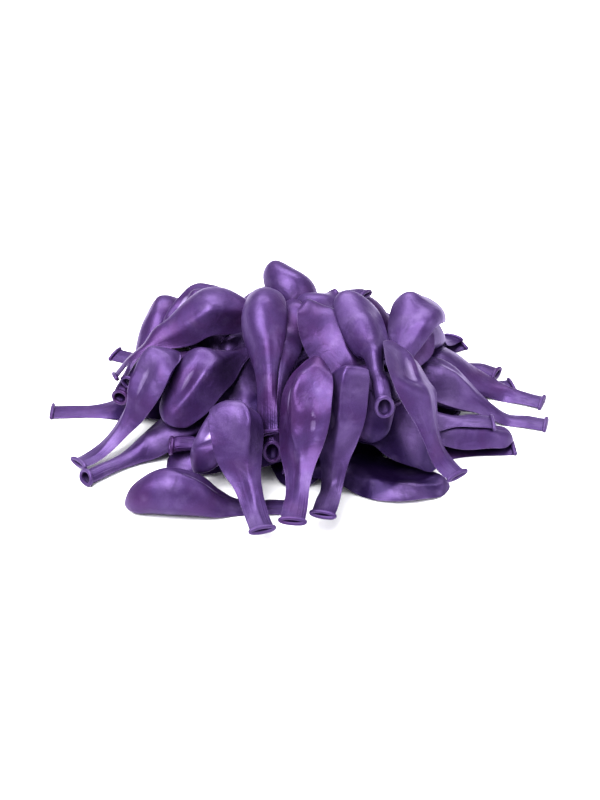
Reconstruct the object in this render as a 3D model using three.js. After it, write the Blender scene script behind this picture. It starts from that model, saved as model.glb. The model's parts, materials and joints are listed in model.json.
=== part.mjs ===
// A heap of uninflated round latex balloons, all of one size, lying loose on a table.
// Millimetres, +X to the right, +Y away from the front of the heap, +Z up.
//
// Each balloon is one dipped piece of latex: a pear-shaped bulb, a neck and a lip rolled into a bead.
// The heap is laid the way a hand would lay it. The balloons come down one after another, and each one
// bends over those already there until it touches them.
import * as THREE from "three";

// One balloon as it leaves its dipping form, before it is pressed flat or blown up.
const BALLOON_LENGTH = 150; // from the crown, at the end of the bulb, to the face of the lip
const BULB_RADIUS = 20; // the widest radius of the bulb
const BULB_REACH = 50; // from the crown to the widest place
const NECK_RADIUS = 7; // outer radius of the neck
const NECK_LENGTH = 38; // the even neck, from the lip to where the bulb begins to widen
const LIP_RADIUS = 1.7; // the rolled bead stands this far out from the neck
const NECK_WALL = 0.9; // the wall of an open neck
const MOUTH_DEPTH = 20; // how far an open mouth reaches into the neck before the film closes

// How the balloons lie.
const OPEN_NECK = 0.9; // a neck at least this plump stands open at its mouth
const CLEARANCE = 0.8; // the least room between two balloons
const TABLE_PRESS = 1; // a balloon on the table is pressed flat by this much where it touches
const BRIDGING = 3; // smoothing sweeps along a balloon, more of them for a stiffer film
const STRETCH = 1.15; // how much longer the film can get between one part of a balloon and the next
const STEEPEST_RISE = 0.75; // the most a balloon climbs, as a share of the length that does it
const SETTLING = 20; // rounds in which a balloon sags onto what lies under it
const STEEPEST_TILT = Math.tan(THREE.MathUtils.degToRad(38)); // sideways slope a balloon rests on

// The heap, in the order of laying. Each row holds:
// name, x and y of the bulb's widest place, heading from there to the mouth in degrees counted from
// +X towards +Y, bend of the neck in degrees, plumpness of the bulb, plumpness of the neck.
// A plumpness of 1 is round, and one near 0 is pressed flat.
const HEAP = [
  // the layer on the table
  ["core_centre", 5, 15, 90, 0, 0.5, 0.3],
  ["core_left", -62, 30, 200, 0, 0.6, 0.3],
  ["core_right", 65, 15, 85, 0, 0.4, 0.3],
  ["core_front", 8, -50, 92, 0, 0.5, 0.3],
  ["core_front_right", 60, -44, 85, 0, 0.45, 0.3],
  ["base_front_lying", -76, -142, 0, 0, 0.95, 0.3],
  ["base_front_pocket", 78, -108, 178, -10, 0.4, 0.3],
  ["base_front_curl", -48, -60, 20, 30, 0.5, 0.3],
  ["base_left_low", -118, -56, 216, 6, 0.55, 0.9],
  ["base_left_out", -146, 8, 187, -6, 0.5, 0.25],
  ["base_back_left", -105, 66, 148, 10, 0.6, 0.3],
  ["base_back_one", -45, 100, 118, 0, 0.6, 0.4],
  ["base_back_two", 35, 105, 76, 10, 0.5, 0.3],
  ["base_back_right", 108, 78, 38, -10, 0.5, 0.3],
  ["base_right_out", 140, 30, 12, 0, 0.5, 0.3],
  ["base_right_flat", 128, -56, -2, 6, 0.4, 0.2],
  // the middle of the heap
  ["middle_back_left", -84, 80, 110, 20, 0.7, 0.3],
  ["middle_centre", -8, 40, 10, 20, 0.45, 0.25],
  ["middle_left", -62, -6, 160, 20, 0.5, 0.3],
  ["middle_right", 90, 25, -30, 0, 0.35, 0.25],
  ["middle_back", 30, 70, 120, -20, 0.35, 0.25],
  ["front_oval_mouth", -25, -80, 181, 0, 0.5, 0.9],
  ["front_tucked", -36, -78, 40, 10, 0.9, 0.3],
  ["right_crescent", 142, -46, 178, 10, 0.6, 0.3],
  ["right_ringed", 108, -52, 2, 0, 0.6, 0.3],
  ["right_cone_mouth", 56, -24, -12, 0, 0.4, 0.9],
  ["front_flap", 80, -80, 172, 10, 0.3, 0.25],
  ["right_round", 72, -48, 92, 0, 0.7, 0.4],
  ["back_slope_left", -66, 118, 140, 0, 0.5, 0.25],
  ["back_slope_middle", 0, 98, 92, -12, 0.5, 0.3],
  ["back_slope_right", 72, 88, 55, 10, 0.5, 0.25],
  ["left_hidden_mouth", -102, 108, -50, 0, 0.5, 0.85],
  ["left_folded", -112, 18, 112, 10, 0.5, 0.3],
  ["left_far", -132, 60, 246, 10, 0.85, 0.85],
  ["left_shoulder", -104, 46, 234, 0, 0.8, 0.85],
  ["left_tongue", -70, -20, 48, 20, 0.5, 0.3],
  ["left_long", -134, -42, 222, 0, 0.65, 0.35],
  ["right_edge_curl", 132, 92, -10, -24, 0.6, 0.5],
  ["right_behind", 170, 46, -22, 0, 0.45, 0.4],
  ["right_big", 166, 0, -12, -4, 0.8, 0.35],
  ["right_far_round", 132, 64, 60, 0, 0.9, 0.4],
  // the top of the heap
  ["crown_back_neck", 36, 64, 176, 10, 0.6, 0.85],
  ["crown_back_lip", 8, 88, -28, 0, 0.5, 0.3],
  ["crown_round_left", 8, 50, -70, 0, 0.75, 0.4],
  ["crown_round_middle", 24, 0, -100, 0, 0.7, 0.4],
  ["crown_small_mouth", 74, -2, 200, 0, 0.35, 1],
  ["crown_shoulder", -94, 26, 196, 20, 0.6, 0.3],
  ["crown_dented", 114, 12, -112, 0, 0.65, 0.3],
  ["front_round_mouth", -8, -32, 266, 0, 0.5, 1],
  ["top_left", -20, -34, 272, 0, 0.8, 0.3],
  ["top_folded", 46, -36, 300, 10, 0.5, 0.25],
  ["top_round_mouth", 70, -42, 280, 0, 0.7, 1],
  ["front_curve", 112, -92, 296, 16, 0.5, 0.3],
  ["front_left", -41, -124, 286, 0, 0.75, 0.3],
  ["front_right", 46, -118, 256, 0, 0.9, 0.35],
  ["front_middle", 14, -132, 263, 0, 0.7, 0.3],
];

const SIDES = 8; // corners of each cross-section
const CELL = 2; // spacing of the height map that records the top of the heap
const MAP_SIZE = 800; // side of the square that the map covers

// The latex colours, a satin violet that differs a little from one dipping batch to the next.
const BATCH_COLOURS = [0x6b4a9c, 0x6f4f9f, 0x674597, 0x7352a3];

// The stations of one balloon from crown to lip: distance along the centreline and natural radius.
function stations() {
  const list = [];
  for (const degrees of [28, 58, 90]) {
    const angle = THREE.MathUtils.degToRad(degrees);
    list.push({ s: BULB_REACH * (1 - Math.cos(angle)), r: BULB_RADIUS * Math.sin(angle) });
  }
  const shoulder = BALLOON_LENGTH - NECK_LENGTH - BULB_REACH;
  for (const share of [0.28, 0.52, 0.76, 1]) {
    const width = (1 + Math.cos(Math.PI * share)) / 2;
    list.push({
      s: BULB_REACH + shoulder * share,
      r: NECK_RADIUS + (BULB_RADIUS - NECK_RADIUS) * width,
    });
  }
  const beadStart = BALLOON_LENGTH - 2 * LIP_RADIUS;
  list.push({ s: beadStart - (NECK_LENGTH - 2 * LIP_RADIUS) / 2, r: NECK_RADIUS });
  list.push({ s: beadStart - LIP_RADIUS / 2, r: NECK_RADIUS });
  list.push({ s: beadStart, r: NECK_RADIUS + LIP_RADIUS });
  list.push({ s: BALLOON_LENGTH - LIP_RADIUS / 2, r: NECK_RADIUS + LIP_RADIUS });
  return list;
}

// The bulb keeps its plumpness up to its widest place, and passes to the neck's along the shoulder.
function plumpnessAt(s, bulb, neck) {
  const shoulderEnd = BALLOON_LENGTH - NECK_LENGTH;
  return THREE.MathUtils.lerp(bulb, neck, THREE.MathUtils.smoothstep(s, BULB_REACH, shoulderEnd));
}

// A film tube of natural radius r keeps its girth when it is pressed down to half-height r * plump,
// so it grows wider: a flat one is half its girth wide. The flatter it is, the sharper its two edges.
function crossSection(r, plump) {
  return {
    halfWidth: r * (Math.PI / 2 - (Math.PI / 2 - 1) * plump ** 1.6),
    halfHeight: r * plump,
    edge: 0.5 + 0.35 * (1 - plump),
  };
}

// The height of a cross-section's outline over its middle plane, u being -1 to 1 across its width.
function outlineHeight(section, u) {
  return section.halfHeight * Math.max(0, 1 - u * u) ** section.edge;
}

// The top of the heap as a height map. Each cell holds the highest point laid in it so far.
class HeightMap {
  constructor() {
    this.count = Math.ceil(MAP_SIZE / CELL);
    this.top = new Float32Array(this.count * this.count);
  }

  index(x, y) {
    const column = Math.floor(x / CELL) + this.count / 2;
    const row = Math.floor(y / CELL) + this.count / 2;
    return row * this.count + column;
  }

  at(x, y) {
    return this.top[this.index(x, y)];
  }

  // Visits points spread over one face, closer together than the cells are wide.
  visit(a, b, c, use) {
    const longest = Math.max(a.distanceTo(b), b.distanceTo(c), c.distanceTo(a));
    const steps = Math.ceil((2 * longest) / CELL);
    const point = new THREE.Vector3();
    for (let i = 0; i <= steps; i++) {
      for (let j = 0; j <= steps - i; j++) {
        point.copy(a).multiplyScalar(1 - (i + j) / steps);
        point.addScaledVector(b, i / steps).addScaledVector(c, j / steps);
        use(this.index(point.x, point.y), point.z);
      }
    }
  }

  add(a, b, c) {
    this.visit(a, b, c, (cell, z) => {
      this.top[cell] = Math.max(this.top[cell], z);
    });
  }

  // How far a face can come down: to within the clearance of a balloon, or pressed to the table.
  room(a, b, c) {
    let least = Infinity;
    this.visit(a, b, c, (cell, z) => {
      const stop = this.top[cell] > 0 ? this.top[cell] + CLEARANCE : -TABLE_PRESS;
      least = Math.min(least, z - stop);
    });
    return least;
  }
}

// Calls use(a, b, c) for each outward face of a closed mesh made of a pole, rings and a second pole.
function forEachFace(rings, use) {
  for (let i = 0; i + 1 < rings.length; i++) {
    const near = rings[i];
    const far = rings[i + 1];
    for (let j = 0; j < SIDES; j++) {
      const next = (j + 1) % SIDES;
      if (near.length === 1) use(near[0], far[next], far[j]);
      else if (far.length === 1) use(near[j], near[next], far[0]);
      else {
        use(near[j], far[next], far[j]);
        use(near[j], near[next], far[next]);
      }
    }
  }
}

// The centreline over the heap: each station's place in plan from the walk along the heading, and its
// height and sideways tilt from what lies under it.
function layCentreline(map, line, sections, row) {
  const [, bulbX, bulbY, heading, bend] = row;
  const start = THREE.MathUtils.degToRad(heading);
  const turn = THREE.MathUtils.degToRad(bend);
  const anchor = line.findIndex((station) => station.s >= BULB_REACH);
  const last = line.length - 1;
  line.forEach((station) => {
    const along = Math.max(0, station.s - BULB_REACH) / (BALLOON_LENGTH - BULB_REACH);
    station.angle = start + turn * along;
    station.z = 0;
  });

  for (let round = 0; round < 5; round++) {
    // Walk both ways from the bulb's widest place. A steep stretch covers less ground.
    line[anchor].x = bulbX;
    line[anchor].y = bulbY;
    for (const way of [1, -1]) {
      for (let i = anchor + way; i >= 0 && i <= last; i += way) {
        const from = line[i - way];
        const length = Math.abs(line[i].s - from.s);
        const steepest = STEEPEST_RISE * length;
        const rise = THREE.MathUtils.clamp(line[i].z - from.z, -steepest, steepest);
        const ground = Math.sqrt(length * length - rise * rise) * way;
        line[i].x = from.x + Math.cos(from.angle) * ground;
        line[i].y = from.y + Math.sin(from.angle) * ground;
      }
    }
    // Feel what is under each cross-section.
    line.forEach((station, i) => {
      const shares = [-0.8, -0.5, -0.2, 0.2, 0.5, 0.8];
      const heights = shares.map((u) => {
        const sideX = -Math.sin(station.angle) * sections[i].halfWidth * u;
        const sideY = Math.cos(station.angle) * sections[i].halfWidth * u;
        return map.at(station.x + sideX, station.y + sideY);
      });
      const spread = shares.reduce((sum, u) => sum + u * u, 0) * sections[i].halfWidth;
      const slope = shares.reduce((sum, u, k) => sum + u * heights[k], 0) / spread;
      station.tilt = THREE.MathUtils.clamp(slope, -STEEPEST_TILT, STEEPEST_TILT);
      const ground = heights.reduce((sum, height) => sum + height) / shares.length;
      station.z = ground + sections[i].halfHeight;
    });
    // Neighbouring cross-sections share their tilt, because the film between them can't twist sharply.
    for (let sweep = 0; sweep < 3; sweep++) {
      const tilts = line.map((station) => station.tilt);
      for (let i = 1; i < last; i++) {
        line[i].tilt = (tilts[i - 1] + 2 * tilts[i] + tilts[i + 1]) / 4;
      }
    }
    stiffen(line);
  }
}

// The film bridges small hollows and passes smoothly over bumps. Where the heap falls away too
// steeply, it stands off the ground.
function stiffen(line) {
  for (let sweep = 0; sweep < BRIDGING; sweep++) {
    for (let i = 1; i + 1 < line.length; i++) {
      const back = line[i].s - line[i - 1].s;
      const ahead = line[i + 1].s - line[i].s;
      const chord = (line[i - 1].z * ahead + line[i + 1].z * back) / (back + ahead);
      line[i].z = (line[i].z + chord) / 2;
    }
  }
  for (let i = 1; i < line.length; i++) {
    line[i].z = Math.max(line[i].z, line[i - 1].z - STEEPEST_RISE * (line[i].s - line[i - 1].s));
  }
  for (let i = line.length - 2; i >= 0; i--) {
    line[i].z = Math.max(line[i].z, line[i + 1].z - STEEPEST_RISE * (line[i + 1].s - line[i].s));
  }
}

// The rings of one balloon around its centreline, from the crown's pole to the pole behind its lip.
function ringsOf(line, sections, plumpNeck) {
  const centres = line.map((station) => new THREE.Vector3(station.x, station.y, station.z));
  const frames = line.map((station, i) => {
    const before = centres[Math.max(0, i - 1)];
    const after = centres[Math.min(centres.length - 1, i + 1)];
    const along = new THREE.Vector3().subVectors(after, before).normalize();
    const side = new THREE.Vector3(-Math.sin(station.angle), Math.cos(station.angle), station.tilt);
    side.addScaledVector(along, -side.dot(along)).normalize();
    return { along, side, up: new THREE.Vector3().crossVectors(along, side) };
  });
  const ring = (i, section, shift) =>
    Array.from({ length: SIDES }, (_, j) => {
      const angle = (2 * Math.PI * (j + 0.5)) / SIDES;
      const u = Math.cos(angle);
      const width = (section.halfWidth * u) / Math.cos(Math.PI / SIDES);
      const height = outlineHeight(section, u) * Math.sign(Math.sin(angle));
      return centres[i]
        .clone()
        .addScaledVector(frames[i].along, shift)
        .addScaledVector(frames[i].side, width)
        .addScaledVector(frames[i].up, height);
    });
  const pole = (i, shift) => [centres[i].clone().addScaledVector(frames[i].along, shift)];

  const last = line.length - 1;
  const rings = [pole(0, -line[0].s)];
  sections.forEach((section, i) => rings.push(ring(i, section, 0)));
  if (plumpNeck < OPEN_NECK) {
    rings.push(pole(last, LIP_RADIUS / 2));
    return rings;
  }
  // An open mouth: the surface turns in over the lip and runs back inside the neck.
  const bore = crossSection(NECK_RADIUS - NECK_WALL, plumpNeck);
  const throat = crossSection((NECK_RADIUS - NECK_WALL) * 0.85, plumpNeck);
  const neckRing = last - 2; // the last station of the neck before the bead
  const closing = line[neckRing].s - (BALLOON_LENGTH - MOUTH_DEPTH);
  rings.push(ring(last, bore, LIP_RADIUS / 2));
  rings.push(ring(neckRing, throat, -closing));
  rings.push(pole(neckRing, -closing - LIP_RADIUS));
  return rings;
}

// The parts of a balloon that sag on their own. Each holds one upper and one lower vertex of a ring,
// which keep their distance. The neck's end sags as a whole, so that the lip keeps its shape. A part
// can sag below the one beside it only as far as the film between them reaches.
function columnsOf(rings) {
  const columns = [];
  const column = (points) => {
    const made = { points, fallen: 0, beside: [] };
    columns.push(made);
    return made;
  };
  const link = (one, other) => {
    const [a, b] = [one.points[0], other.points[0]];
    const film = STRETCH * a.distanceTo(b);
    const reach = Math.sqrt(film * film - (a.x - b.x) ** 2 - (a.y - b.y) ** 2);
    one.beside.push({ column: other, reach: reach + a.z - b.z });
    other.beside.push({ column: one, reach: reach + b.z - a.z });
  };
  const neckEnd = stations().findIndex((station) => station.s > BALLOON_LENGTH - NECK_LENGTH) + 1;
  let previous = [column(rings[0])];
  for (const ring of rings.slice(1, neckEnd)) {
    const row = Array.from({ length: SIDES / 2 }, (_, c) => column([ring[c], ring[SIDES - 1 - c]]));
    row.forEach((made, c) => {
      link(made, previous[c % previous.length]);
      if (c > 0) link(made, row[c - 1]);
    });
    previous = row;
  }
  const end = column(rings.slice(neckEnd).flat());
  previous.forEach((made) => link(made, end));
  return columns;
}

// Lets a balloon down until it touches something, then lets each part of it sag as far as there is
// room under it and as far as the parts beside it follow.
function settle(map, rings) {
  const columns = columnsOf(rings);
  const owner = new Map();
  for (const column of columns) column.points.forEach((point) => owner.set(point, column));
  for (let round = 0; round < SETTLING; round++) {
    for (const column of columns) column.room = Infinity;
    forEachFace(rings, (a, b, c) => {
      const room = map.room(a, b, c);
      for (const point of [a, b, c]) {
        const column = owner.get(point);
        column.room = Math.min(column.room, room);
      }
    });
    const least = Math.min(...columns.map((column) => column.room));
    for (const column of columns) {
      column.before = column.fallen;
      column.fallen += round === 0 ? least : column.room;
    }
    for (let sweep = 0; sweep < columns.length / 4; sweep++) {
      for (const column of columns) {
        for (const { column: other, reach } of column.beside) {
          column.fallen = Math.min(column.fallen, other.fallen + reach);
        }
      }
    }
    for (const { points, fallen, before } of columns) {
      points.forEach((point) => {
        point.z -= fallen - before;
      });
    }
  }
  rings.flat().forEach((point) => {
    point.z = Math.max(0, point.z);
  });
}

function geometryOf(rings) {
  const positions = [];
  forEachFace(rings, (a, b, c) => positions.push(...a, ...b, ...c));
  const geometry = new THREE.BufferGeometry();
  geometry.setAttribute("position", new THREE.Float32BufferAttribute(positions, 3));
  geometry.computeVertexNormals();
  return geometry;
}

function layBalloon(map, row, number) {
  const [name, , , , , plumpBulb, plumpNeck] = row;
  const line = stations();
  const sections = line.map(({ s, r }) => crossSection(r, plumpnessAt(s, plumpBulb, plumpNeck)));
  layCentreline(map, line, sections, row);
  const rings = ringsOf(line, sections, plumpNeck);

  settle(map, rings);
  forEachFace(rings, (a, b, c) => map.add(a, b, c));

  const material = new THREE.MeshStandardMaterial({
    color: BATCH_COLOURS[number % BATCH_COLOURS.length],
    roughness: 0.38,
    metalness: 0.35,
  });
  const balloon = new THREE.Mesh(geometryOf(rings), material);
  balloon.name = name;
  return balloon;
}

const heap = new THREE.Group();
const map = new HeightMap();
HEAP.forEach((row, number) => heap.add(layBalloon(map, row, number)));

// The heap's own frame has its origin on the table, under the middle of its bounding box.
const box = new THREE.Box3().setFromObject(heap);
const middle = box.getCenter(new THREE.Vector3());
heap.position.set(-middle.x, -middle.y, -box.min.z);

export default heap;
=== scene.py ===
# %% [markdown]
# # A heap of slack party balloons
# Fifty-six uninflated latex balloons lie loose on a table. Each is a film bag a third of a millimetre
# thick, filled with a little stale air, so it is round in one place, pressed flat in another, dented
# where the film has sunk in, and creased where it was folded. The lip of each is rolled into a bead.
#
# The CAD frame gives every balloon as a plain closed solid of eleven rings, in its exact place. This
# lesson reads those rings back, spans a fine film over them, lets the film sink into dents and folds,
# rolls the lips with Geometry Nodes, and coats everything in a pearl violet latex.

# %% The CAD frame
import json
import math

import bmesh
import bpy
import numpy as np
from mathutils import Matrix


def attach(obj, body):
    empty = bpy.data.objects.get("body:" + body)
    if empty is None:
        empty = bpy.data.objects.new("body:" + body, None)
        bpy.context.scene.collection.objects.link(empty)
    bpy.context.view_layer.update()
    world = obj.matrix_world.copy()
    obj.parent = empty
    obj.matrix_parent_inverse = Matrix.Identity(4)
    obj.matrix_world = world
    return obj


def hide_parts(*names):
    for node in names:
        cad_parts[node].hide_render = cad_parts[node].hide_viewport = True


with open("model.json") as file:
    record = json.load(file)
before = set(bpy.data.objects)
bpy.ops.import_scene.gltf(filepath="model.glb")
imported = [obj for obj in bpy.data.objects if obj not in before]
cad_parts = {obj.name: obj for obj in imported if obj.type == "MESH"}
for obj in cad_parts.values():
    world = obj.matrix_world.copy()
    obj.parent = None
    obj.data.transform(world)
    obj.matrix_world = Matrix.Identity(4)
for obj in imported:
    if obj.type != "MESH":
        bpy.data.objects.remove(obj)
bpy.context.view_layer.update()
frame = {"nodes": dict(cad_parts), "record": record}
NODE_BODY = {node: body for body, nodes in frame["record"]["behaviour"]["bodies"].items()
             for node in nodes}

# %% [markdown]
# ## The camera first
# The heap is seen from the front and 35 degrees above the table, from about a metre and a half away,
# the way goods are laid out on a studio table. An Empty or a Track To constraint could aim the
# camera, but one rotation says the same thing and stays readable: tipping a camera that looks
# straight down by 90 - 35 degrees lifts its view to the heap's front.

# %% The camera
CAMERA_DISTANCE = 1.4
CAMERA_ELEVATION = math.radians(35)
CAMERA_TARGET_HEIGHT = 0.0252

camera_data = bpy.data.cameras.new("camera")
camera_data.lens = 67.0
camera_data.sensor_width = 36.0
camera = bpy.data.objects.new("camera", camera_data)
camera.location = (
    0.0,
    -CAMERA_DISTANCE * math.cos(CAMERA_ELEVATION),
    CAMERA_TARGET_HEIGHT + CAMERA_DISTANCE * math.sin(CAMERA_ELEVATION),
)
camera.rotation_euler = (math.pi / 2 - CAMERA_ELEVATION, 0.0, 0.0)
bpy.context.scene.collection.objects.link(camera)
bpy.context.scene.camera = camera
print("camera at", [round(value, 3) for value in camera.location])

# %% [markdown]
# ## Reading the rings back
# A CAD node arrives as loose triangles. Merged, it is a mesh of one vertex at each end, called a pole,
# with rings of eight vertices between them. A breadth-first walk from a pole finds the rings in order,
# because every ring is one edge further from it. The winding of the triangles then tells which vertex
# of one ring continues which of the ring before, so the eight columns come out straight.

# %% Walking the rings
SIDES = 8
MERGE = 1e-6  # corners closer than this are one
THIRD = 2  # the ring that tells the wide crown from the narrow lip, counted from either end


def ring_walk(bm, pole):
    """The rings from one pole: a list of vertex index lists, each ordered as the columns run."""
    level = {pole: 0}
    queue = [pole]
    for vertex in queue:
        for edge in vertex.link_edges:
            other = edge.other_vert(vertex)
            if other not in level:
                level[other] = level[vertex] + 1
                queue.append(other)
    following, straight = {}, {}
    for face in bm.faces:
        corners = list(face.verts)
        heights = [level[v] for v in corners]
        low = min(heights)
        while heights[0] != low or heights[-1] == low:
            corners = corners[1:] + corners[:1]
            heights = heights[1:] + heights[:1]
        if heights == [low, low, low + 1]:
            following[corners[0]] = corners[1]
            straight[corners[1]] = corners[2]
    first = min((v for v, height in level.items() if height == 1), key=lambda v: v.index)
    rings = []
    while first is not None and first in following:
        ring = [first]
        while len(ring) < SIDES:
            ring.append(following[ring[-1]])
        rings.append(ring)
        first = straight.get(first)
    return rings


def read_balloon(node):
    """The crown's pole and the rings of one CAD node, from the crown to the lip."""
    bm = bmesh.new()
    bm.from_mesh(frame["nodes"][node].data)
    bmesh.ops.remove_doubles(bm, verts=bm.verts, dist=MERGE)
    bm.verts.index_update()
    bm.verts.ensure_lookup_table()
    best = None
    for pole in (v for v in bm.verts if len(v.link_edges) == SIDES):
        rings = ring_walk(bm, pole)
        points = np.array([[v.co[:] for v in ring] for ring in rings])
        widest = np.linalg.norm(points[THIRD] - points[THIRD].mean(0), axis=1).mean()
        if best is None or widest > best[0]:
            best = (widest, np.array(pole.co[:]), points)
    bm.free()
    return best[1], best[2]


balloons = {node: read_balloon(node) for node in sorted(NODE_BODY)}
print("rings per balloon:", sorted({len(rings) for _, rings in balloons.values()}))

# %% [markdown]
# ## The cross-sections of a slack film tube
# A film tube pressed between two hands turns from a circle into a lens with two sharp edges, because
# its girth can't change. Each ring is read as such a lens: a middle line that sags over whatever lies
# below, a half thickness, and an exponent that says how sharp the two edges are.

# %% From rings to lenses
COLUMN_PLACES = np.array([1.0, math.tan(math.pi / 8), -math.tan(math.pi / 8), -1.0])
NECK_RINGS = 9  # the rings of the bag itself; the last two belong to the rolled lip
FLAT_TOP = math.log(math.sin(math.pi / 8) ** 2 / math.cos(math.pi / 8) ** 2)
BLUNTEST, KEENEST = 0.45, 1.1  # edge exponents: 0.5 is an ellipse, 1 is a lens


def aligned(rings):
    """Turns the columns so that 0 to 3 run over the top from one edge of the lens to the other."""
    def girth(turned):
        return sum(np.linalg.norm(turned[:, a] - turned[:, 7 - a], axis=1).sum() for a in range(4))

    turned = min((np.roll(rings, -k, axis=1) for k in range(4)), key=girth)
    if turned[:, :4, 2].sum() < turned[:, 4:, 2].sum():
        turned = np.roll(turned, 4, axis=1)
    return turned


def lenses(rings):
    """Middle points, thickness direction, half thickness and edge exponent of each ring."""
    rings = aligned(rings)
    top, bottom = rings[:, :4], rings[:, 7:3:-1]
    middle = (top + bottom) / 2
    half = (top - bottom) / 2
    inner = (half[:, 1] + half[:, 2]) / 2
    thickness = np.linalg.norm(inner, axis=1)
    outer = (np.linalg.norm(half[:, 0], axis=1) + np.linalg.norm(half[:, 3], axis=1)) / 2
    edge = np.clip(np.log(np.maximum(outer, 1e-6) / thickness) / FLAT_TOP, BLUNTEST, KEENEST)
    return middle, inner / thickness[:, None], thickness, edge


def middle_line(middle, across):
    """The sagging middle line at places from -1 to 1 across each ring, as one cubic through it."""
    basis = []
    for i, place in enumerate(COLUMN_PLACES):
        others = np.delete(COLUMN_PLACES, i)
        basis.append(np.prod([(across - o) / (place - o) for o in others], axis=0))
    return np.einsum("c...,rcx->r...x", np.array(basis), middle)


_, _, thickness, edge = lenses(balloons["front_left"][1])
print("front_left is", (2000 * thickness.max()).round(1), "mm thick, edge exponent",
      edge[:NECK_RINGS].round(2))

# %% [markdown]
# ## Dents and folds
# Film doesn't stretch under its own weight, so where there is less air than room, it sinks in. It
# does so in smooth shallow dents that meet in sharp ridges. The sum of a few random waves gives a
# smooth field, and its absolute value has just that shape: round hollows between sharp lines where
# the field passes zero. Longer roof-like folds and single craters are placed where the balloons
# have them. A cloth simulation could find dents too, but fifty-six bags in one heap would
# take it minutes, and a field costs next to nothing and only ever draws a film inwards.

# %% The dent field
AROUND = 64  # points round a section of the film
ALONG = 104  # sections from the crown to the face of the neck
BALLOON_LENGTH = 0.150
BROAD_DENTS, SMALL_DENTS, SLACK_PATCHES = 0.062, 0.030, 0.085  # wavelengths in metres
BROAD_SHARE, SMALL_SHARE = 0.8, 0.16
LEAST_SLACK = 0.2  # share of the slack that even a taut patch has


def wave_field(seed, points, wavelength, waves=9):
    """A smooth random field near -1 to 1, the same for the same seed, from waves of many headings."""
    random = np.random.default_rng(seed)
    heading = random.normal(size=(waves, 3))
    heading /= np.linalg.norm(heading, axis=1)[:, None]
    numbers = 2 * math.pi / (wavelength * random.uniform(0.75, 1.5, waves))
    phases = random.uniform(0, 2 * math.pi, waves)
    total = np.sin(points @ (heading * numbers[:, None]).T + phases).sum(axis=-1)
    return total / math.sqrt(waves / 2) / 1.6


def soft_step(value, low, high):
    """0 below low, 1 above high, and a smooth rise between them."""
    share = np.clip((value - low) / (high - low), 0, 1)
    return share * share * (3 - 2 * share)


def dent_share(seed, film, slack):
    """How far the film has sunk, as a share of the bag's half thickness, over its own surface."""
    broad = wave_field(seed, film, BROAD_DENTS)
    small = wave_field(seed + 1, film * (1.6, 1.6, 0.7), SMALL_DENTS)
    where = soft_step(wave_field(seed + 2, film, SLACK_PATCHES), -0.15, 0.6)
    # The root of a square is the absolute value, and the small addend rounds its sharp tip a little.
    sunk = (np.sqrt(broad ** 2 + 0.0012) * BROAD_SHARE
            + np.sqrt(small ** 2 + 0.002) * SMALL_SHARE)
    return slack * sunk * (LEAST_SLACK + (1 - LEAST_SLACK) * where)


print("a dent field of", AROUND * ALONG, "places per balloon")

# %% Folds and craters, listed one by one
# Each fold is a roof ridge: where it lies across the bag at the crown and at the neck, and how much
# of the bag's section follows the roof. Each crater is its place along and across, its length and
# width in metres, and its depth.
FOLDS = {
    "front_left": (0.30, 0.05, 0.95),
    "front_middle": (-0.35, 0.25, 0.7),
    "front_right": (0.45, -0.3, 0.8),
    "front_curve": (0.5, 0.35, 0.9),
    "top_folded": (0.6, 0.4, 0.8),
    "left_long": (-0.5, 0.4, 0.6),
    "left_folded": (0.55, 0.3, 0.8),
    "left_tongue": (-0.4, 0.2, 0.7),
    "right_big": (0.25, -0.35, 0.6),
    "right_crescent": (0.6, 0.5, 0.9),
    "crown_shoulder": (0.45, 0.2, 0.55),
    "base_front_pocket": (0.5, 0.3, 0.9),
    "front_flap": (-0.5, -0.2, 0.9),
}
CRATERS = {
    "base_front_lying": [(0.50, 0.35, 0.034, 0.016, 0.75)],
    "crown_dented": [(0.34, 0.15, 0.056, 0.026, 0.6)],
    "top_folded": [(0.30, -0.20, 0.060, 0.024, 0.5)],
    "left_shoulder": [(0.22, 0.2, 0.022, 0.020, 0.8), (0.42, -0.2, 0.026, 0.014, 0.7)],
    "front_middle": [(0.45, 0.55, 0.044, 0.012, 0.45), (0.66, -0.3, 0.030, 0.010, 0.35)],
    "front_right": [(0.42, -0.35, 0.040, 0.016, 0.45), (0.68, 0.3, 0.026, 0.010, 0.4)],
    "left_long": [(0.38, 0.25, 0.056, 0.014, 0.5)],
    "right_big": [(0.30, 0.35, 0.060, 0.016, 0.5), (0.6, -0.2, 0.04, 0.012, 0.4)],
    "front_curve": [(0.30, -0.15, 0.045, 0.018, 0.8)],
    "left_tongue": [(0.3, 0.2, 0.04, 0.016, 0.7)],
    "front_tucked": [(0.25, 0.1, 0.026, 0.018, 0.7)],
    "right_crescent": [(0.3, -0.1, 0.05, 0.014, 0.9)],
    "front_flap": [(0.35, 0.1, 0.05, 0.02, 0.95)],
    "base_front_pocket": [(0.25, 0.0, 0.05, 0.02, 0.9)],
}
SMOOTH = ("top_left", "top_round_mouth", "crown_round_left", "crown_round_middle", "right_round",
          "base_front_lying", "right_far_round", "crown_back_neck")  # fuller of air than the rest
print(len(FOLDS), "folded balloons,", sum(len(rows) for rows in CRATERS.values()), "craters")

# %% [markdown]
# ## Spanning the film
# The film runs as one grid: from the crown along the bag to the neck, in over the lip, and back down
# inside the neck, where it closes. Sections are worked out on the rings and then joined by a smooth
# spline, so the crown is round although the CAD solid has only corners there. A dent only ever makes
# a section thinner. The film may bulge a little past the straight edges of the solid, and only where
# nothing lies on it may it stand fuller still, a few steps further on.

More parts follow.
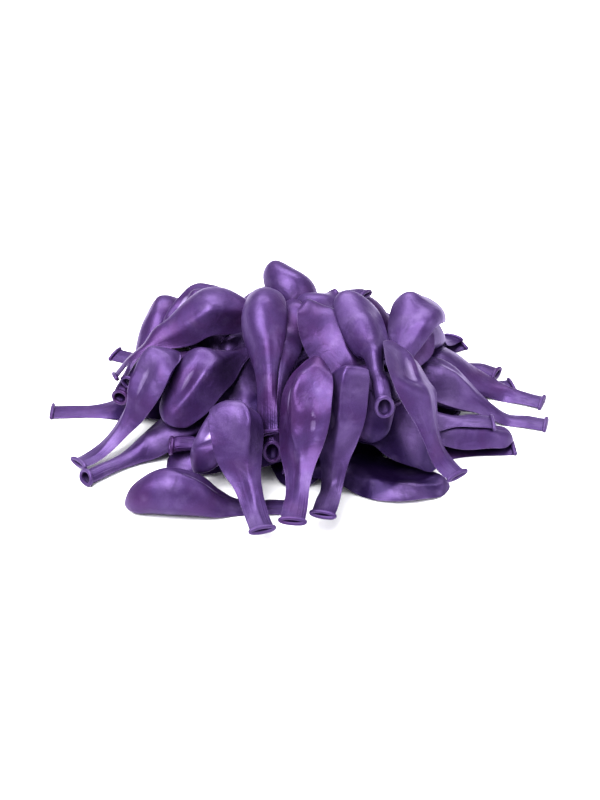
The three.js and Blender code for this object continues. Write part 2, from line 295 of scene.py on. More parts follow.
# %% Splines between the rings
SHARPER_FOLD = 1.3  # a folded bag lies flatter, so its edges are keener
FULLER = 1.07  # a ring's corners are joined by straight lines, and the film bulges past them
NECK_PAST_BEAD = 0.66  # share of the way between the two rings that the neck goes on under the bead
KEEN_FROM, KEEN_TO = 0.62, 1.0  # edge exponents between which an edge becomes a crease
CREASE_FROM, CREASE_TO = 0.04, 0.17  # how far from the edge a crease's painted highlight fades, as a share


def spline(knots, values, places):
    """A smooth curve through values at rising knots (cubic, with the slopes of their neighbours)."""
    slopes = np.gradient(values, knots, axis=0)
    i = np.clip(np.searchsorted(knots, places) - 1, 0, len(knots) - 2)
    span = (knots[i + 1] - knots[i]).reshape((-1,) + (1,) * (values.ndim - 1))
    t = ((places - knots[i]) / (knots[i + 1] - knots[i])).reshape(span.shape)
    return (
        values[i] * (2 * t ** 3 - 3 * t ** 2 + 1)
        + values[i + 1] * (3 * t ** 2 - 2 * t ** 3)
        + slopes[i] * span * (t ** 3 - 2 * t ** 2 + t)
        + slopes[i + 1] * span * (t ** 3 - t ** 2)
    )


def span_film(node):
    """One balloon's smooth film and its middle surface, from the crown to the face of the neck."""
    pole, rings = balloons[node]
    middle, up, thick, sharp = lenses(rings)
    centres = middle.mean(axis=1)
    # The neck goes on under the bead up to its face.
    shift = (centres[NECK_RINGS + 1] - centres[NECK_RINGS - 1]) * NECK_PAST_BEAD
    middle = np.concatenate([middle[:NECK_RINGS], middle[NECK_RINGS - 1:NECK_RINGS] + shift])
    up, thick, sharp = (np.concatenate([rows[:NECK_RINGS], rows[NECK_RINGS - 1:NECK_RINGS]])
                        for rows in (up, thick, sharp))
    sharp = sharp * (SHARPER_FOLD if node in FOLDS else 1.0)
    turn = (np.arange(AROUND) + 0.5) * 2 * math.pi / AROUND
    across, side = np.cos(turn), np.sin(turn)
    height = np.abs(side)[None, :] ** (2 * sharp[:, None]) * np.sign(side)
    line = middle_line(middle, across)
    film = line + up[:, None, :] * (height * thick[:, None] * FULLER)[..., None]

    # Past the crown's pole each column goes on as the one opposite it, so that the crown is round.
    knots = np.cumsum([np.linalg.norm(film[0] - pole, axis=1).mean()]
                      + list(np.linalg.norm(np.diff(film, axis=0), axis=2).mean(axis=1)))
    knots = np.concatenate([-knots[1::-1], [0], knots])
    places = np.linspace(0, knots[-1], ALONG + 1)[1:]

    def joined(rows):
        beyond = np.roll(rows[:2], AROUND // 2, axis=1)[::-1]
        crown = np.broadcast_to(pole, (1, AROUND, 3))
        return spline(knots, np.concatenate([beyond, crown, rows]), places)

    length = places / knots[-1]
    keen = soft_step(spline(knots[3:], sharp, np.maximum(places, knots[3])), KEEN_FROM, KEEN_TO)
    # The crease is a thin painted highlight line along the keen edges of the lens, later joined to the
    # fold highlight.
    crease = keen[:, None] * (1 - soft_step(np.abs(side), CREASE_FROM, CREASE_TO))[None, :]
    return pole, joined(film), joined(line), length, across, side, crease


_, film, core, length, across, side, _ = span_film("front_left")
print("a film of", film.shape[:2], "points from", film[0].mean(0).round(3), "to",
      film[-1].mean(0).round(3))


# %% Letting the film sink
NATURAL_PLACES = (0, 0.04, 0.16, 0.36, 0.55, 0.75, 1)  # shares of the length from the crown
NATURAL_RADII = (0, 0.009, 0.017, 0.020, 0.0145, 0.008, 0.007)  # of the balloon on its form, metres
SLACK, SMOOTH_SLACK = 0.46, 0.08
FIRM_NECK, FIRM_CROWN = 0.85, 0.65  # shares of a dent that the thick neck and the crown resist
CRATER_RIM = 1.9  # a crater fades out at this many times half its size
CRATER_SHARE, CRATER_CALM = 0.8, 0.6  # how far it sinks, and how far it smooths other dents
ROOF_POWER, ROOF_RISE, ROOF_TALLEST = 1.25, 1.2, 1.25
RIDGE_WANDER, WANDER_LENGTH, WANDER_PATH = 0.12, 0.11, 0.15  # share, metres, metres
DEEPEST = 0.97  # film never sinks quite to the middle, so its two walls never meet


def sink(node, seed, film, core, length, across, side):
    """Lets the film sink towards the bag's middle: dents, a roof fold, and craters."""
    natural = np.interp(length, NATURAL_PLACES, NATURAL_RADII)
    surface = np.stack([
        natural[:, None] * across * 1.2,
        natural[:, None] * side * 0.8,
        np.broadcast_to((length * BALLOON_LENGTH)[:, None], (len(length), AROUND)),
    ], axis=-1)
    share = dent_share(seed, surface, SMOOTH_SLACK if node in SMOOTH else SLACK)
    near_lip = 1 - FIRM_NECK * soft_step(length, 0.86, 0.97)[:, None]
    past_crown = soft_step(length, 0.0, 0.16)[:, None]
    share = share * (1 - FIRM_CROWN + FIRM_CROWN * past_crown) * near_lip
    upper = (side > 0)[None, :]
    for along, where, long, wide, depth in CRATERS.get(node, []):
        far = np.hypot((length[:, None] - along) * BALLOON_LENGTH / long * 2,
                       (across - where)[None, :] * natural.max() * 1.2 / wide * 2)
        hole = soft_step(CRATER_RIM - far, 0.0, CRATER_RIM)
        sunk = share * (1 - CRATER_CALM * hole) + CRATER_SHARE * depth * hole
        share = np.where(upper, sunk, share)
    air = film - core
    if node in FOLDS:
        start, end, weight = FOLDS[node]
        path = length[:, None] * np.array([[WANDER_PATH, 0, 0]])
        wander = wave_field(seed + 5, path, WANDER_LENGTH) * RIDGE_WANDER
        ridge = (start + (end - start) * length + wander)[:, None]
        reach = np.where(across[None, :] > ridge, 1 - ridge, 1 + ridge)
        roof = np.clip(1 - np.abs(across[None, :] - ridge) / reach, 0, 1) ** ROOF_POWER
        strength = weight * soft_step(length, 0.02, 0.2)[:, None] * near_lip
        oval = np.maximum(np.abs(side)[None, :], 0.05)
        keep = 1 - strength + strength * np.minimum(ROOF_RISE * roof / oval, ROOF_TALLEST)
        air = np.where(upper[..., None], air * keep[..., None], air)
    return core + air * (1 - np.clip(share, 0, DEEPEST))[..., None]


film = sink("front_left", 1, film, core, length, across, side)
print("front_left sinks to", (film[:, :, 2].max() * 1000).round(1), "mm at its highest")

# %% [markdown]
# ## The mouth
# A dipped balloon's neck is a soft tube. Seen from the end, it is a slit or an oval between two thin
# walls, and it is dark inside, where the film narrows again towards the bag. The film is turned in
# at the face of the neck, a wall's thickness inwards, and led back down the tube until it is deep in
# shade, where a pole closes it. So the mesh stays one closed skin with its faces outwards. Some necks
# curl up off the heap, and their faces are slanted, so that the opening looks a little upwards.

# %% Tipping the mouths that curl up
FACING_UP = {"top_round_mouth": 0.95, "front_round_mouth": 0.95, "crown_small_mouth": 0.7,
             "base_left_low": 0.35, "front_oval_mouth": 0.4, "left_shoulder": 0.5, "left_far": 0.4,
             "crown_back_neck": 0.6, "left_hidden_mouth": 0.5, "right_cone_mouth": 0.4,
             "front_left": 0.25, "front_middle": 0.25, "front_right": 0.35, "left_long": 0.25}
FACING_OUT = 0.15  # the slant of every other mouth
NECK_ROWS = 8  # rows at the end of the film that give the neck's direction


def tip_mouth(node, film, core, length):
    """Slants the face of a mouth that curls up, so that its lower lip stands out past the upper."""
    along = core[-1].mean(axis=0) - core[-NECK_ROWS].mean(axis=0)
    along /= np.linalg.norm(along)
    rise = np.linalg.norm(film - core, axis=2) * np.sign(film - core)[..., 2]
    amount = FACING_UP.get(node, FACING_OUT) * soft_step(length, 0.90, 1.0)[:, None]
    return film - (rise * amount)[..., None] * along


film = tip_mouth("front_left", film, core, length)
print(len(FACING_UP), "mouths are slanted more than the rest")

# %% Turning the film in
FILM_WALL = 0.0008
LEAST_HALF_WIDTH = 0.001
LEAST_BORE = 0.35  # share of the film's air that a flattened mouth keeps open inside
MOUTH_DEPTH = 0.020
MOUTH_STEPS = 7


def turn_in(film, core, length):
    """Rows of points back down inside the neck, and the point that closes them."""
    half_width = np.linalg.norm(core[:, 0] - core[:, AROUND // 2], axis=1) / 2
    rows = []
    for depth in np.linspace(0, MOUTH_DEPTH, MOUTH_STEPS):
        row = np.argmin(np.abs(length - (1 - depth / BALLOON_LENGTH)))
        middle = core[row].mean(axis=0)
        narrow = max(half_width[row] - FILM_WALL, LEAST_HALF_WIDTH) / half_width[row]
        line = middle + (core[row] - middle) * narrow
        air = film[row] - core[row]
        size = np.linalg.norm(air, axis=1)
        inner = np.maximum(size - FILM_WALL, LEAST_BORE * size)
        rows.append(line + air / np.maximum(size, 1e-9)[:, None] * inner[:, None])
    return np.array(rows), rows[-1].mean(axis=0)


mouth, _ = turn_in(film, core, length)
print("the mouth of front_left is", (np.ptp(mouth[0], axis=0) * 1000).round(1), "mm in x, y and z")

# %% [markdown]
# ## Film that others lie on
# Film on the outside of a heap stands as full as its air lets it. Film under other balloons lies in
# the heap's shade, and the finish darkens it there with painted shade. A ray cast upwards from
# each of 400,000 points would tell the two apart, but slowly. A coarse height map of the whole heap,
# read smoothly between its cells, says the same thing in an instant.

# %% How deep each film lies in the heap
CELL = 0.006  # side of a cell of the height map, metres
DEEP_FROM, DEEP = 0.004, 0.034  # metres below the heap's top where film counts as covered


def heap_top(all_points):
    """The height of the heap over a square grid, a little smoothed, and its lower corner."""
    low = all_points.min(axis=0)[:2] - 3 * CELL
    cells = ((all_points[:, :2] - low) / CELL).astype(int)
    top = np.zeros(cells.max(axis=0) + 4)
    np.maximum.at(top, (cells[:, 0], cells[:, 1]), all_points[:, 2])
    for _ in range(3):
        top = (top + np.roll(top, 1, 0) + np.roll(top, -1, 0)
               + np.roll(top, 1, 1) + np.roll(top, -1, 1)) / 5
    return top, low


corners = [rings.reshape(-1, 3) for _, rings in balloons.values()]
middles = [lenses(rings)[0].reshape(-1, 3) for _, rings in balloons.values()]
top, low = heap_top(np.concatenate(corners + middles))


def buried(points):
    """0 for film that lies open on the heap, 1 for film that others lie on."""
    place = (points[..., :2] - low) / CELL - 0.5
    cell = np.floor(place).astype(int)
    x, y = (place - cell)[..., 0], (place - cell)[..., 1]
    i, j = cell[..., 0], cell[..., 1]
    height = ((top[i, j] * (1 - x) + top[i + 1, j] * x) * (1 - y)
              + (top[i, j + 1] * (1 - x) + top[i + 1, j + 1] * x) * y)
    return soft_step(height - points[..., 2], DEEP_FROM, DEEP)


print("heap top from", top.min(), "to", round(float(top.max()), 3), "m")

# %% [markdown]
# ## From grid to mesh
# A grid makes a mesh of four-sided faces with a fan of triangles at each end. The mesh carries a UV
# map, around the bag and along it, for what follows the film, such as the fine gathers at the neck.
# Three attributes carry what the finish needs to know: the tint of the dipping batch, how deep the
# film lies in the heap, which the finish turns into painted shade, and how sharply it is bent, which
# gives a painted highlight on outward folds and painted shade in hollows. Vertex groups could hold
# some of these, but only numbers from 0 to 1.

# %% The film meshes
SHARP_BEND = 0.00022  # a point this far proud of its neighbours gets the full painted highlight, metres
TABLE_GAP = 0.0003  # film keeps this far off the table
FAN = 0.01  # height on the UV map of the fans that close each end


def film_uv(along, around):
    """The UV corners of the fans and the four-sided faces, in the order of grid_mesh's faces."""
    u = np.arange(around) / around
    step, half = u + 1 / around, u + 0.5 / around
    first, last = np.full(around, along[0]), np.full(around, along[-1])

    def corners(*pairs):
        both = [np.stack(np.broadcast_arrays(a, b), -1) for a, b in pairs]
        return np.stack(both, -2).reshape(-1, 2)

    near, far = along[:-1, None], along[1:, None]
    return np.concatenate([
        corners((half, 0 * u), (step, first), (u, first)),
        corners((u, near), (step, near), (step, far), (u, far)),
        corners((u, last), (step, last), (half, last + FAN)),
    ])


def bent(rows):
    """How far each point stands proud of its neighbours, outwards, in metres."""
    around = (np.roll(rows, 1, 1) + np.roll(rows, -1, 1)) / 2
    beside = np.concatenate([rows[:1], (rows[:-2] + rows[2:]) / 2, rows[-1:]])
    outwards = np.cross(np.gradient(rows, axis=0), np.roll(rows, -1, 1) - np.roll(rows, 1, 1))
    outwards /= np.maximum(np.linalg.norm(outwards, axis=2), 1e-12)[..., None]
    return ((rows - (around + beside) / 2) * outwards).sum(-1)


def grid_mesh(name, pole, rows, end, tint, crease):
    """A closed mesh from a pole, rows of points and an end point, with its UV map and attributes."""
    count, around = rows.shape[:2]
    points = np.concatenate([pole[None], rows.reshape(-1, 3), end[None]])
    points[:, 2] = np.maximum(points[:, 2], TABLE_GAP)
    index = 1 + np.arange(count * around).reshape(count, around)
    after = np.roll(index, -1, axis=1)
    quads = np.stack([index[:-1], after[:-1], after[1:], index[1:]], axis=-1).reshape(-1, 4)
    faces = [(0, b, a) for a, b in zip(index[0].tolist(), after[0].tolist())]
    faces += quads.tolist()
    last = len(points) - 1
    faces += [(a, b, last) for a, b in zip(index[-1].tolist(), after[-1].tolist())]
    mesh = bpy.data.meshes.new(name)
    mesh.from_pydata(points.tolist(), [], faces)
    mesh.uv_layers.new(name="film").data.foreach_set(
        "uv", film_uv(np.linspace(FAN, 1, count), around).ravel())
    # Painted highlight where the film bends outwards or is creased at a keen edge, painted shade
    # (negative) where it bends inwards.
    worn = np.clip(bent(rows) / SHARP_BEND, -1, 1)
    worn[:len(crease)] = np.maximum(worn[:len(crease)], crease)
    values_of = {
        "worn": np.concatenate([[0], worn.ravel(), [0]]),
        "tint": np.full(len(points), tint),
        # How far other balloons cover the film, which the finish turns into painted shade.
        "deep": buried(points),
    }
    for attribute, values in values_of.items():
        mesh.attributes.new(attribute, "FLOAT", "POINT").data.foreach_set("value", values)
    mesh.shade_smooth()
    return mesh


def outward(mesh):
    """Turns the faces round if they enclose a negative volume, and counts the open edges."""
    bm = bmesh.new()
    bm.from_mesh(mesh)
    if bm.calc_volume(signed=True) < 0:
        bmesh.ops.reverse_faces(bm, faces=bm.faces)
    open_edges = sum(1 for edge in bm.edges if len(edge.link_faces) != 2)
    bm.to_mesh(mesh)
    bm.free()
    return open_edges


print("film meshes of", (ALONG + MOUTH_STEPS) * AROUND + 2, "points each")

# %% [markdown]
# ## Every film in the heap
# The steps above now run for every balloon in turn. Each has a seed of its own, so no two bags are
# dented alike, and the heap still comes out the same on every run. Geometry Nodes could scatter one
# balloon fifty-six times, but no two of these bags share a shape.

# %% All the films
PLUMP = 0.30  # free film stands this share of its air higher than the corners of its rings
PLUMP_FADES = (0.70, 0.92)  # from bulb to neck, as shares of the length
FIRST_SEED, SEEDS_EACH = 100, 10


def stand_full(film, core, length, side):
    """Lets the upper film stand fuller wherever no other balloon lies on it."""
    bulb = 1 - soft_step(length, *PLUMP_FADES)[:, None]
    free = (1 - buried(film)) * (side > 0) * bulb
    return core + (film - core) * (1 + PLUMP * free)[..., None]


films, lips = {}, {}
open_edges = 0
for seed, node in enumerate(sorted(balloons)):
    pole, film, core, length, across, side, crease = span_film(node)
    film = sink(node, FIRST_SEED + SEEDS_EACH * seed, film, core, length, across, side)
    film = stand_full(film, core, length, side)
    film = tip_mouth(node, film, core, length)
    mouth, closing = turn_in(film, core, length)
    tint = np.random.default_rng(seed).uniform(-1, 1)
    mesh = grid_mesh("film_" + node, pole, np.concatenate([film, mouth]), closing, tint, crease)
    open_edges += outward(mesh)
    films[node] = bpy.data.objects.new("film_" + node, mesh)
    bpy.context.scene.collection.objects.link(films[node])
    lips[node] = film[-1], core[-1], tint
print(len(films), "films,", sum(len(f.data.polygons) for f in films.values()), "faces,",
      open_edges, "open edges")

# %% [markdown]
# ## The rolled lips
# The last step at the dipping works is a brush that rolls the wet film back on itself, which leaves a
# bead round the mouth. A bead follows a path, so Geometry Nodes sweep it: a closed loop of edges for
# every mouth goes in, and Curve to Mesh runs a circle along each. The loops of one body go through
# the tree together. A torus per mouth would be simpler, but no mouth here is a circle any more.

# %% Loops round the mouths
BEAD_RADIUS = 0.0020
LEAST_OPENING = 0.0024  # half the height of the flattest bead's path


def lip_loop(rim, line):
    """Points round a mouth, just outside the rim, opened to the bead's own thickness at least."""
    air = rim - line
    up = air[AROUND // 4] / np.linalg.norm(air[AROUND // 4])
    share = air @ up
    least = LEAST_OPENING * np.sin((np.arange(AROUND) + 0.5) * 2 * math.pi / AROUND)
    share = np.where(np.abs(share) < np.abs(least), least, share)
    loop = line + share[:, None] * up
    loop[:, 2] = np.maximum(loop[:, 2], BEAD_RADIUS + TABLE_GAP)
    return loop


def loops_mesh(name, nodes):
    """One mesh of closed loops of edges, with the tint of each balloon on its points."""
    points, edges, tints = [], [], []
    for node in nodes:
        rim, line, tint = lips[node]
        start = len(points)
        points += lip_loop(rim, line).tolist()
        edges += [(start + i, start + (i + 1) % AROUND) for i in range(AROUND)]
        tints += [tint] * AROUND
    mesh = bpy.data.meshes.new(name)
    mesh.from_pydata(points, edges, [])
    mesh.attributes.new("tint", "FLOAT", "POINT").data.foreach_set("value", tints)
    return mesh


bodies = sorted(set(NODE_BODY.values()))
loop_meshes = {}
for body in bodies:
    nodes = [node for node in sorted(NODE_BODY) if NODE_BODY[node] == body]
    loop_meshes[body] = loops_mesh("lips_" + body, nodes)
print({body: len(mesh.edges) // AROUND for body, mesh in loop_meshes.items()}, "mouths")

# %% The inputs of the bead's tree
SWELL_SCALE = 160.0  # the bead is a little thicker and thinner every few millimetres


def named_input(tree, name, kind, value=None):
    """Adds an input to the tree and returns the identifier that a modifier knows it by."""
    socket = tree.interface.new_socket(name, in_out="INPUT", socket_type=kind)
    if value is not None:
        socket.default_value = value
    return socket.identifier


bead_tree = bpy.data.node_groups.new("rolled bead", "GeometryNodeTree")
bead_inputs = {
    "loops": named_input(bead_tree, "Loops", "NodeSocketGeometry"),
    "radius": named_input(bead_tree, "Bead Radius", "NodeSocketFloat", 0.001),
    "sides": named_input(bead_tree, "Sides", "NodeSocketInt", 8),
    "uneven": named_input(bead_tree, "Unevenness", "NodeSocketFloat", 0.1),
    "seed": named_input(bead_tree, "Seed", "NodeSocketFloat", 0.0),
    "finish": named_input(bead_tree, "Finish", "NodeSocketMaterial"),
}
bead_tree.interface.new_socket("Beads", in_out="OUTPUT", socket_type="NodeSocketGeometry")
print("inputs of the bead:", list(bead_inputs))


# %% The bead as Geometry Nodes
def bead_node(kind, **settings):
    node = bead_tree.nodes.new(kind)
    for name, value in settings.items():
        setattr(node, name, value)
    return node


given = bead_node("NodeGroupInput")
result = bead_node("NodeGroupOutput")
to_curve = bead_node("GeometryNodeMeshToCurve")
noise = bead_node("ShaderNodeTexNoise", noise_dimensions="4D")
noise.inputs["Scale"].default_value = SWELL_SCALE
swell = bead_node("ShaderNodeMapRange")
swell.inputs["To Max"].default_value = 1.0
less = bead_node("ShaderNodeMath", operation="SUBTRACT")
less.inputs[0].default_value = 1.0
width = bead_node("ShaderNodeMath", operation="MULTIPLY")
circle = bead_node("GeometryNodeCurvePrimitiveCircle", mode="RADIUS")
circle.inputs["Radius"].default_value = 1.0
sweep = bead_node("GeometryNodeCurveToMesh")
smooth = bead_node("GeometryNodeSetShadeSmooth")
realize = bead_node("GeometryNodeRealizeInstances")
coat = bead_node("GeometryNodeSetMaterial")

link = bead_tree.links.new
link(given.outputs["Loops"], to_curve.inputs["Mesh"])
link(given.outputs["Seed"], noise.inputs["W"])
link(noise.outputs["Fac"], swell.inputs["Value"])
link(given.outputs["Unevenness"], less.inputs[1])
link(less.outputs[0], swell.inputs["To Min"])
link(swell.outputs["Result"], width.inputs[0])
link(given.outputs["Bead Radius"], width.inputs[1])
link(given.outputs["Sides"], circle.inputs["Resolution"])
link(to_curve.outputs["Curve"], sweep.inputs["Curve"])
link(circle.outputs["Curve"], sweep.inputs["Profile Curve"])
link(width.outputs[0], sweep.inputs["Scale"])
link(sweep.outputs["Mesh"], smooth.inputs["Geometry"])
link(smooth.outputs["Geometry"], realize.inputs["Geometry"])
link(realize.outputs["Geometry"], coat.inputs["Geometry"])
link(given.outputs["Finish"], coat.inputs["Material"])
link(coat.outputs["Geometry"], result.inputs["Beads"])
print("bead tree with", len(bead_tree.nodes), "nodes")

# %% [markdown]
# ## Pearl latex
# Pearl balloons get their sheen from mica flakes in the latex. The flakes lie flat in the film, so
# they work like a rough coloured metal under a thin clear skin: light glows softly in the film's own
# colour instead of glinting white. A Principled shader that is part metal, fairly rough and lightly
# coated gives this. Blown film stretches and the pigment thins, and slack film is denser, so colour
# drifts over each bag. The dipped neck is thicker, hence darker, with fine gathers along it.

# %% Helpers for shader nodes
def shader(tree, kind, inputs=None, **settings):
    """A shader node with its settings, and its inputs set to values or linked to other sockets."""
    node = tree.nodes.new(kind)
    for name, value in settings.items():
        setattr(node, name, value)
    for key, value in (inputs or {}).items():
        if isinstance(value, bpy.types.NodeSocket):
            tree.links.new(value, node.inputs[key])
        else:
            node.inputs[key].default_value = value
    return node


def mix_colours(tree, factor, first, second, blend="MIX"):
    """The colour socket of a Mix node, whose inputs 0, 6 and 7 are its factor and its colours."""
    node = shader(tree, "ShaderNodeMix", data_type="RGBA", blend_type=blend)
    for i, value in ((0, factor), (6, first), (7, second)):
        if isinstance(value, bpy.types.NodeSocket):
            tree.links.new(value, node.inputs[i])
        else:
            node.inputs[i].default_value = value
    return node.outputs[2]


def math_node(tree, operation, *values, clamp=False):
    """The result of a Math node with its inputs in order."""
    return shader(tree, "ShaderNodeMath", dict(enumerate(values)),
                  operation=operation, use_clamp=clamp).outputs[0]


def remap(tree, value, low, high, low_gives, high_gives):
    """A value from low to high, spread over another range and clamped to it."""
    return shader(tree, "ShaderNodeMapRange", {
        "Value": value, "From Min": low, "From Max": high,
        "To Min": low_gives, "To Max": high_gives}).outputs["Result"]


def cloudy(tree, place, scale, detail, inputs=None, **settings):
    """A noise over the given places, from 0 to 1."""
    return shader(tree, "ShaderNodeTexNoise",
                  {"Vector": place, "Scale": scale, "Detail": detail, **(inputs or {})},
                  **settings).outputs["Fac"]


def bump(tree, height, strength, distance, under=None):
    """A bump on the skin, or on the bump under it."""
    inputs = {"Height": height, "Strength": strength, "Distance": distance}
    if under is not None:
        inputs["Normal"] = under
    return shader(tree, "ShaderNodeBump", inputs).outputs[0]


print("shader helpers ready")

# %% The pigment
VIOLET_DEEP = (0.010, 0.002, 0.034, 1)
VIOLET = (0.046, 0.023, 0.088, 1)
LILAC = (0.086, 0.054, 0.143, 1)
PLUM = (0.044, 0.015, 0.070, 1)
PAINTED_FOLD_HIGHLIGHT = (0.520, 0.420, 0.700, 1)
TALC = (0.360, 0.270, 0.500, 1)
DRIFT, BATCH = 0.9, 0.10  # how far the pigment drifts over a bag, and from bag to bag


def pigment(tree, at, tint):
    """The latex's own colour, drifting over a few centimetres and from balloon to balloon."""
    drift = cloudy(tree, at, 24.0, 3.0, {"Roughness": 0.55, "Distortion": 0.6})
    batch = math_node(tree, "MULTIPLY_ADD", tint, BATCH, 0.5)
    drift = math_node(tree, "ADD", math_node(tree, "MULTIPLY", drift, DRIFT),
                      math_node(tree, "SUBTRACT", batch, DRIFT / 2), clamp=True)
    body = shader(tree, "ShaderNodeValToRGB", {"Fac": drift})
    ramp = body.color_ramp
    ramp.elements[0].position, ramp.elements[0].color = 0.25, PLUM
    ramp.elements[1].position, ramp.elements[1].color = 0.78, LILAC
    middle = ramp.elements.new(0.5)
    middle.color = VIOLET
    return body.outputs["Color"]


def painted_light_shade_and_neck(tree, colour, worn, deep, along):
    """Painted highlight on outward bends, painted shade in hollows and under others; a darker thick
    neck.
    """
    # Painted highlight: outward bends are mixed towards a pale lilac, as if a fold caught the light.
    ridge = remap(tree, worn, 0.35, 1.0, 0.0, 0.75)
    # Painted shade: inward bends and hollows are mixed towards deep violet.
    hollow_shade = remap(tree, worn, -0.1, -1.0, 0.0, 0.5)
    colour = mix_colours(tree, ridge, colour, PAINTED_FOLD_HIGHLIGHT)
    colour = mix_colours(tree, hollow_shade, colour, VIOLET_DEEP)
    # Painted shade: film that other balloons cover is mixed towards deep violet, in place of the
    # heap's shade.
    heap_shade_share = remap(tree, deep, 0.0, 0.8, 0.0, 0.88)
    colour = mix_colours(tree, heap_shade_share, colour, VIOLET_DEEP)
    dense = remap(tree, along, 0.72, 0.93, 0.0, 0.35)
    return mix_colours(tree, dense, colour, VIOLET_DEEP)


def flaked(tree, colour, at, flakes):
    """The fine light and dark grain of mica, and a hint of talc."""
    sparkle = remap(tree, flakes, 0.3, 0.7, 0.86, 1.14)
    colour = mix_colours(tree, 1.0, colour, sparkle, "MULTIPLY")
    talc = remap(tree, cloudy(tree, at, 60.0, 4.0), 0.55, 0.8, 0.0, 0.10)
    return mix_colours(tree, talc, colour, TALC)


print("pigments mixed")

# %% The finish
def wrinkled(tree, at, on_film, along, flakes, grain):
    """Gathers along the neck, and fine wrinkles, creases and an orange-peel grain all over."""
    gather_place = shader(tree, "ShaderNodeMapping", {"Vector": on_film, "Scale": (26.0, 1.6, 1.0)})
    gathers = cloudy(tree, gather_place.outputs[0], 1.0, 2.0)
    near_neck = remap(tree, along, 0.35, 0.85, 0.10, 1.0)
    wrinkles = cloudy(tree, at, 95.0, 2.5, {"Distortion": 0.8})
    gathers = math_node(tree, "MULTIPLY", gathers, near_neck)
    folds = bump(tree, gathers, 0.5, 0.0014)
    soft = bump(tree, wrinkles, 0.45, 0.0012, folds)
    creases = cloudy(tree, at, 26.0, 1.0, {"Distortion": 1.2}, noise_type="RIDGED_MULTIFRACTAL")
    lines = bump(tree, creases, 0.42, 0.0020, soft)
    return bump(tree, flakes, grain, 0.0002, lines)


def pearl_latex(name, metal=0.55, roughness=(0.40, 0.52), grain=0.12):
    """A part metal, fairly rough and lightly coated latex in drifting violet."""
    material = bpy.data.materials.new(name)
    material.use_nodes = True
    tree = material.node_tree
    tree.nodes.clear()
    place = shader(tree, "ShaderNodeTexCoord")
    at = place.outputs["Object"]
    # The batch tint, and the attributes for the painted fold highlight and shade and the painted heap
    # shade.
    tint, worn, deep = (shader(tree, "ShaderNodeAttribute", attribute_name=attribute).outputs["Fac"]
                        for attribute in ("tint", "worn", "deep"))
    along = shader(tree, "ShaderNodeSeparateXYZ", {0: place.outputs["UV"]}).outputs["Y"]

    colour = painted_light_shade_and_neck(tree, pigment(tree, at, tint), worn, deep, along)
    flakes = cloudy(tree, at, 1500.0, 1.0)
    colour = flaked(tree, colour, at, flakes)
    rough = remap(tree, cloudy(tree, at, 38.0, 2.0), 0.3, 0.7, *roughness)
    relief = wrinkled(tree, at, place.outputs["UV"], along, flakes, grain)
    skin = shader(tree, "ShaderNodeBsdfPrincipled", {
        "Base Color": colour, "Metallic": metal, "Roughness": rough,
        "Coat Weight": 0.06, "Coat Roughness": 0.30, "IOR": 1.45,
        "Specular Tint": (0.66, 0.55, 0.87, 1),
        "Normal": relief,
    })
    shader(tree, "ShaderNodeOutputMaterial", {"Surface": skin.outputs[0]})
    return material


film_finish = pearl_latex("pearl violet latex film")
bead_finish = pearl_latex("pearl violet latex bead", metal=0.45, roughness=(0.42, 0.52),
                          grain=0.06)
for film_object in films.values():
    film_object.data.materials.append(film_finish)
print("finishes:", film_finish.name, "and", bead_finish.name)

# %% [markdown]
# ## Sweeping the beads
# Each body's loops get the tree as a modifier. Its inputs are set by their identifiers, the result is
# turned into a plain mesh, and the modifier goes, so what is left is a mesh like any other.

# %% The beads of each body
BEAD_SIDES = 12
BEAD_UNEVEN = 0.16  # share of its radius by which a bead thins here and there
BEAD_SEED = 2.0


def sweep_beads(body):
    """Runs the tree on one body's loops and keeps the result as a plain mesh."""
    loops = bpy.data.objects.new("loops_" + body, loop_meshes[body])
    bpy.context.scene.collection.objects.link(loops)
    modifier = loops.modifiers.new("rolled bead", "NODES")
    modifier.node_group = bead_tree
    modifier[bead_inputs["radius"]] = BEAD_RADIUS
    modifier[bead_inputs["sides"]] = BEAD_SIDES
    modifier[bead_inputs["uneven"]] = BEAD_UNEVEN
    modifier[bead_inputs["seed"]] = BEAD_SEED
    modifier[bead_inputs["finish"]] = bead_finish
    evaluated = loops.evaluated_get(bpy.context.evaluated_depsgraph_get())
    mesh = bpy.data.meshes.new_from_object(evaluated)
    mesh.name = "lips_mesh_" + body
    loops.modifiers.remove(modifier)
    bpy.data.objects.remove(loops)
    outward(mesh)
    beads = bpy.data.objects.new("lips_" + body, mesh)
    bpy.context.scene.collection.objects.link(beads)
    return beads


bead_objects = {body: sweep_beads(body) for body in bodies}
print({body: len(beads.data.polygons) for body, beads in bead_objects.items()}, "bead faces")

# %% [markdown]
# ## Riding the frame
# Every film stands for its own CAD node and moves with that node's body. The beads ride on the same
# bodies as the necks that they close.

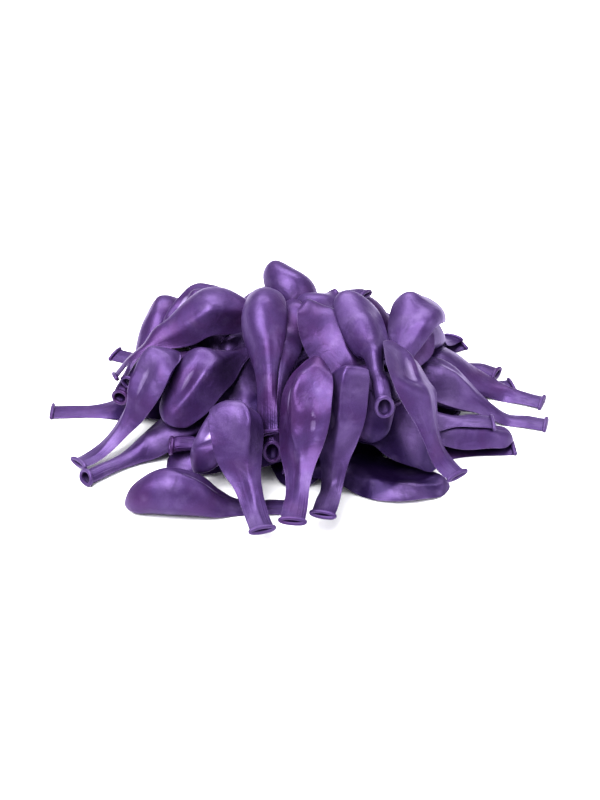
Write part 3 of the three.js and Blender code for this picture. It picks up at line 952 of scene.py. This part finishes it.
# %% Films and beads on their bodies
for node, film_object in films.items():
    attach(film_object, NODE_BODY[node])
    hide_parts(node)
for body, beads in bead_objects.items():
    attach(beads, body)
print(len(films), "films and", len(bead_objects), "sets of beads ride the frame")

# %% [markdown]
# ## The table and the light
# The heap lies on a plain pale floor under large soft lights, as in a packshot. The key comes from
# the upper left and front, a weaker one from the right, and a wide one from above and behind draws
# the light line along the folds that face away.

# %% A pale floor
FLOOR_SIZE = 12.0
PAPER = (0.93, 0.93, 0.935, 1)

bpy.ops.mesh.primitive_plane_add(size=FLOOR_SIZE, location=(0, 0, 0))
floor = bpy.context.object
floor.name = "floor"
paper = bpy.data.materials.new("white paper")
paper.use_nodes = True
paper_skin = paper.node_tree.nodes["Principled BSDF"]
paper_skin.inputs["Base Color"].default_value = PAPER
paper_skin.inputs["Roughness"].default_value = 0.85
floor.data.materials.append(paper)
print("floor laid")

# %% Studio light
SOFTBOXES = {
    # place, width and height in metres, watts
    "key": ((-0.6, -0.6, 1.6), (1.5, 1.5), 80),
    "fill": ((1.3, -0.4, 0.8), (1.0, 1.0), 12),
    "top back": ((0.1, 0.9, 1.4), (1.6, 0.8), 34),
}
STUDIO_AIR = (0.95, 0.95, 1.0, 1)
STUDIO_STRENGTH = 0.55


def softbox(name, place, size, watts):
    """A rectangular light that faces the middle of the table under the heap."""
    light = bpy.data.lights.new(name, "AREA")
    light.shape, light.energy = "RECTANGLE", watts
    light.size, light.size_y = size
    box = bpy.data.objects.new(name, light)
    box.location = place
    dx, dy, dz = (-value for value in place)
    box.rotation_euler = (math.atan2(math.hypot(dx, dy), -dz), 0, math.atan2(dx, -dy) + math.pi)
    bpy.context.scene.collection.objects.link(box)


for name, (place, size, watts) in SOFTBOXES.items():
    softbox(name, place, size, watts)
world = bpy.data.worlds.new("studio")
world.use_nodes = True
studio = world.node_tree.nodes["Background"]
studio.inputs["Color"].default_value = STUDIO_AIR
studio.inputs["Strength"].default_value = STUDIO_STRENGTH
bpy.context.scene.world = world
bpy.context.scene.view_settings.view_transform = "Standard"
bpy.context.scene.view_settings.look = "Medium High Contrast"
print(len(SOFTBOXES), "softboxes and a pale studio")
